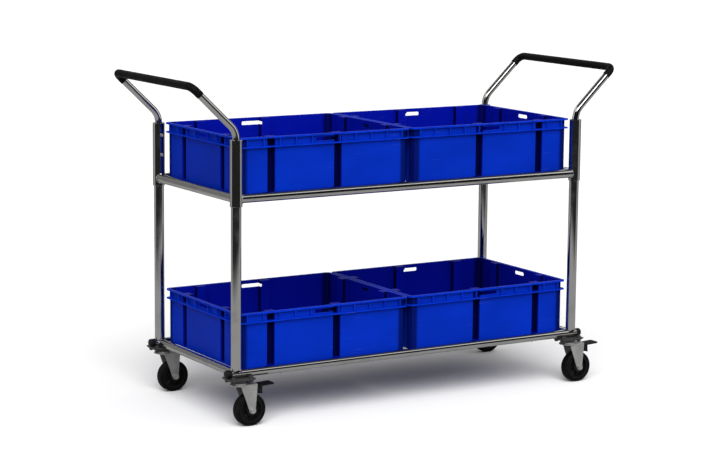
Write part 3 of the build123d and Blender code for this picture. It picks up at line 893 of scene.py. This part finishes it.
class TROLLEY_OT_welds(bpy.types.Operator):
    """Runs a weld bead round each welded tube end"""

    bl_idname = "trolley.welds"
    bl_label = "Welds"

    def execute(self, context):
        bead = context.scene.trolley.sizes.bead
        top = bmesh.new()
        bottom = bmesh.new()
        socket_r = span("socket_front_left").x / 2
        top_r = span("top_front_rail").z / 2
        low_r = span("bottom_front_rail").z / 2
        for corner in CORNERS:
            socket = middle(f"socket_{corner}")
            post = middle(f"upright_{corner}")
            inward_x = -RIGHT if socket.x > 0 else RIGHT
            inward_y = -BACK if socket.y > 0 else BACK
            joint = Vector((socket.x, socket.y, middle("top_front_rail").z))
            for along, across in ((inward_x, BACK), (inward_y, RIGHT)):
                bead_ring(top, joint, along, across, top_r, bead, saddle(socket_r, 0, top_r, math.cos))
            joint = Vector((post.x, post.y, middle("bottom_front_rail").z))
            bead_ring(bottom, joint, inward_y, RIGHT, low_r, bead, saddle(low_r, 0, low_r, math.sin))
            self.post_foot(bottom, post, inward_y, low_r, bead)
        for tier, bm, rail_r in (("top", top, top_r), ("bottom", bottom, low_r)):
            self.bearer_ends(bm, tier, rail_r, bead)
            bmesh.ops.remove_doubles(bm, verts=bm.verts, dist=MERGE)
            bmesh.ops.recalc_face_normals(bm, faces=bm.faces)
            add_piece(bm, f"{tier}_shelf_welds", "frame", "chrome_tube")
        return {"FINISHED"}

    @staticmethod
    def post_foot(bm, post, inward_y, rail_r, bead):
        """The bead that follows an upright's notched foot over the lower rails."""
        least_rise = 6.7 * MM
        radius = span("upright_front_left").x / 2
        rail_z = middle("bottom_front_rail").z
        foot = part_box("upright_front_left")[0]
        low = max(foot.z - rail_z, least_rise)

        def lift(turn):
            over_long = abs(radius * math.sin(turn))
            lifts = [low]
            if over_long < rail_r:
                lifts.append(math.sqrt(rail_r ** 2 - over_long ** 2))
            over_end = abs(radius * math.cos(turn))
            facing_in = math.sin(turn) * inward_y.y > 0
            if over_end < rail_r and facing_in:
                lifts.append(math.sqrt(rail_r ** 2 - over_end ** 2))
            return max(lifts)

        bead_ring(bm, Vector((post.x, post.y, rail_z)), UP, RIGHT, radius, bead, lift)

    @staticmethod
    def bearer_ends(bm, tier, rail_r, bead):
        """The beads where a shelf's bearers meet its long rails."""
        bearers = f"{tier}_bearers"
        radius = span(bearers).z / 2
        bearer_z = middle(bearers).z
        offset = bearer_z - middle(f"{tier}_front_rail").z
        crate_x = middle(CRATES[1]).x
        outer_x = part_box(bearers)[1].x - radius
        inner_x = crate_x - (outer_x - crate_x)
        for x in (-outer_x, -inner_x, inner_x, outer_x):
            for row, along, across in (("front", BACK, RIGHT), ("rear", -BACK, -RIGHT)):
                rail_end = Vector((x, middle(f"{tier}_{row}_rail").y, bearer_z))
                sign = along.cross(across).z
                follow = saddle(rail_r, offset, radius, lambda turn: sign * math.sin(turn))
                bead_ring(bm, rail_end, along, across, radius, bead, follow)


class TROLLEY_OT_stage(bpy.types.Operator):
    """Sets the floor, the light, the dark cloths that the metal mirrors and the camera"""

    bl_idname = "trolley.stage"
    bl_label = "Stage"

    def execute(self, context):
        stage = context.scene.trolley.stage
        self.floor(context.scene.trolley.colours)
        self.dark_cloths(stage)
        self.light(context, stage)
        self.camera(context, stage)
        context.scene.view_settings.view_transform = "Standard"
        return {"FINISHED"}

    @staticmethod
    def seen_rays(sheet):
        """1 for what the camera sees, straight or in metal or through glass."""
        rays = sheet.node("ShaderNodeLightPath", output="Is Camera Ray")
        for other in ("Is Glossy Ray", "Is Transmission Ray"):
            rays = rays.most(sheet.node("ShaderNodeLightPath", output=other))
        return rays

    def floor(self, colours):
        """A wide pale floor, which throws less light up at the trolley than a real white one."""
        half_width = 120.0
        bounce = 0.40
        bm = bmesh.new()
        bmesh.ops.create_grid(bm, x_segments=4, y_segments=4, size=half_width)
        material, sheet = new_sheet("studio_floor_finish")
        pale = sheet.node("ShaderNodeBsdfDiffuse", {}, {"Color": tuple(colours.floor_pale)})
        dull = sheet.node("ShaderNodeBsdfDiffuse", {}, {"Color": tone(colours.floor_pale, bounce)})
        mixed = sheet.node("ShaderNodeMixShader", {}, {0: self.seen_rays(sheet), 1: dull, 2: pale})
        sheet.node("ShaderNodeOutputMaterial", {}, {"Surface": mixed})
        set_out(bm, "studio_floor", material)

    def dark_cloths(self, stage):
        """Grey cloths that only polished surfaces show: one all over the floor, one overhead, and one
        before and one behind the trolley, laid on the floor and hung up from it, which darken away
        from the trolley. Above the hung ones the studio is white. Each profile goes from one edge of
        a cloth to the other, as (distance from the trolley, height) points."""
        far = 12.0
        hung_top = far * math.tan(math.radians(33))
        roof_foot = far * math.tan(math.radians(47))
        roof_bend = 1.5 * roof_foot
        roof_top = 1.6 * roof_foot
        roof_hole = 1.0
        floor_hole = 0.02
        floor_height = 0.004
        laid_height = 0.008
        under = ((floor_hole, floor_height), (far, floor_height))
        laid = ((stage.cloth_start, laid_height), (far, laid_height), (far, hung_top))
        roof = ((far, roof_foot), (far / 2, roof_bend), (roof_hole, roof_top))
        ahead = -stage.yaw
        behind = math.pi - stage.yaw
        sweep = stage.cloth_sweep
        near = stage.floor_cloth
        self.cloth(stage, "floor_cloth", near, near, under, 0.0, FULL_TURN)
        self.cloth(stage, "front_cloth", near, stage.front_cloth, laid, ahead, sweep)
        self.cloth(stage, "rear_cloth", near, stage.rear_cloth, laid, behind, sweep)
        self.cloth(stage, "roof_cloth", stage.roof_cloth, stage.roof_cloth, roof, 0.0, FULL_TURN)

    @staticmethod
    def cloth(stage, name, near_grey, far_grey, profile, facing, sweep):
        """A profile spun through a sweep that is centred on a facing, shaded from near to far grey."""
        steps = 36
        bm = bmesh.new()
        turn = Matrix.Rotation(facing - sweep / 2, 3, "Z")
        points = [bm.verts.new(turn @ Vector((0, -reach, height))) for reach, height in profile]
        edges = [bm.edges.new(pair) for pair in zip(points, points[1:])]
        bmesh.ops.spin(
            bm, geom=points + edges, cent=(0, 0, 0), axis=UP, angle=sweep, steps=steps,
            use_merge=sweep == FULL_TURN)
        material, sheet = new_sheet(f"{name}_finish")
        away = object_place(sheet).length().ramp(stage.cloth_start, stage.cloth_dark)
        near, distant = [
            sheet.node("ShaderNodeBsdfDiffuse", {}, {"Color": tone(WHITE, grey)})
            for grey in (near_grey, far_grey)]
        weave = sheet.node("ShaderNodeMixShader", {}, {0: away, 1: near, 2: distant})
        sheet.node("ShaderNodeOutputMaterial", {}, {"Surface": weave})
        made = set_out(bm, name, material)
        made.visible_camera = False
        made.visible_diffuse = False
        made.visible_transmission = False
        made.visible_shadow = False

    def light(self, context, stage):
        """An even studio, brighter from the front, that shows as white, and one soft main light."""
        front_to_rear = (-0.7, 0.7)
        shown_white = 1.0
        world = bpy.data.worlds.new("studio")
        world.use_nodes = True
        world.node_tree.nodes.clear()
        sheet = Wire(world.node_tree)
        front, rear, white = [
            sheet.node("ShaderNodeBackground", {}, {"Color": WHITE, "Strength": strength})
            for strength in (stage.front_fill, stage.rear_fill, shown_white)]
        rearward = sheet.node("ShaderNodeTexCoord", output="Generated").along("Y").ramp(*front_to_rear)
        around = sheet.node("ShaderNodeMixShader", {}, {0: rearward, 1: front, 2: rear})
        mixed = sheet.node("ShaderNodeMixShader", {}, {0: self.seen_rays(sheet), 1: around, 2: white})
        sheet.node("ShaderNodeOutputWorld", {}, {"Surface": mixed})
        context.scene.world = world

        lamp = bpy.data.lights.new("key", "SUN")
        lamp.energy = stage.key * math.pi / math.sin(stage.key_height)
        lamp.angle = stage.key_softness
        key = bpy.data.objects.new("key", lamp)
        level = math.cos(stage.key_height)
        towards_key = Vector((
            math.sin(stage.key_turn) * level, -math.cos(stage.key_turn) * level, math.sin(stage.key_height)))
        key.rotation_mode = "QUATERNION"
        key.rotation_quaternion = towards_key.to_track_quat("Z", "Y")
        context.scene.collection.objects.link(key)

    @staticmethod
    def camera(context, stage):
        """The photograph's view: aimed, rolled, then slid across its own picture."""
        level = math.cos(stage.pitch)
        ahead = Vector((
            math.sin(stage.yaw) * level, math.cos(stage.yaw) * level, -math.sin(stage.pitch)))
        flat_right = Vector((math.cos(stage.yaw), -math.sin(stage.yaw), 0))
        roll = Matrix.Rotation(-stage.roll, 3, ahead)
        right = roll @ flat_right
        up = right.cross(ahead)
        shot = bpy.data.cameras.new("camera")
        shot.sensor_width = PICTURE_WIDTH
        shot.lens = stage.lens
        shot.clip_start = 0.1
        shot.clip_end = 400.0
        camera = bpy.data.objects.new("camera", shot)
        place = Matrix((right, up, -ahead)).transposed().to_4x4()
        place.translation = (
            stage.aim_height * UP + stage.slide[0] * right + stage.slide[1] * up - stage.distance * ahead)
        camera.matrix_world = place
        context.scene.collection.objects.link(camera)
        context.scene.camera = camera


OPERATORS = (
    TROLLEY_OT_tubes,
    TROLLEY_OT_grips,
    TROLLEY_OT_welds,
    TROLLEY_OT_crates,
    TROLLEY_OT_tyres,
    TROLLEY_OT_wheels,
    TROLLEY_OT_forks,
    TROLLEY_OT_pedals,
    TROLLEY_OT_fixings,
    TROLLEY_OT_stage,
)


class TROLLEY_PT_panel(bpy.types.Panel):
    """Lists the settings and the operators"""

    bl_idname = "TROLLEY_PT_panel"
    bl_label = "Crate trolley"
    bl_space_type = "VIEW_3D"
    bl_region_type = "UI"
    bl_category = "Trolley"

    def draw(self, context):
        settings = context.scene.trolley
        for group in (settings.colours, settings.sizes, settings.stage):
            box = self.layout.box()
            for name in group.bl_rna.properties.keys():
                if name not in ("rna_type", "name"):
                    box.prop(group, name)
        for operator in OPERATORS:
            self.layout.operator(operator.bl_idname)


CLASSES = (TrolleyColours, TrolleySizes, TrolleyStage, TrolleySettings, *OPERATORS, TROLLEY_PT_panel)


def register():
    for cls in CLASSES:
        bpy.utils.register_class(cls)
    bpy.types.Scene.trolley = PointerProperty(type=TrolleySettings)


def unregister():
    del bpy.types.Scene.trolley
    for cls in reversed(CLASSES):
        bpy.utils.unregister_class(cls)


def main():
    register()
    bpy.ops.trolley.tubes()
    bpy.ops.trolley.grips()
    bpy.ops.trolley.welds()
    bpy.ops.trolley.crates()
    bpy.ops.trolley.tyres()
    bpy.ops.trolley.wheels()
    bpy.ops.trolley.forks()
    bpy.ops.trolley.pedals()
    bpy.ops.trolley.fixings()
    bpy.ops.trolley.stage()


if __name__ == "__main__":
    main()
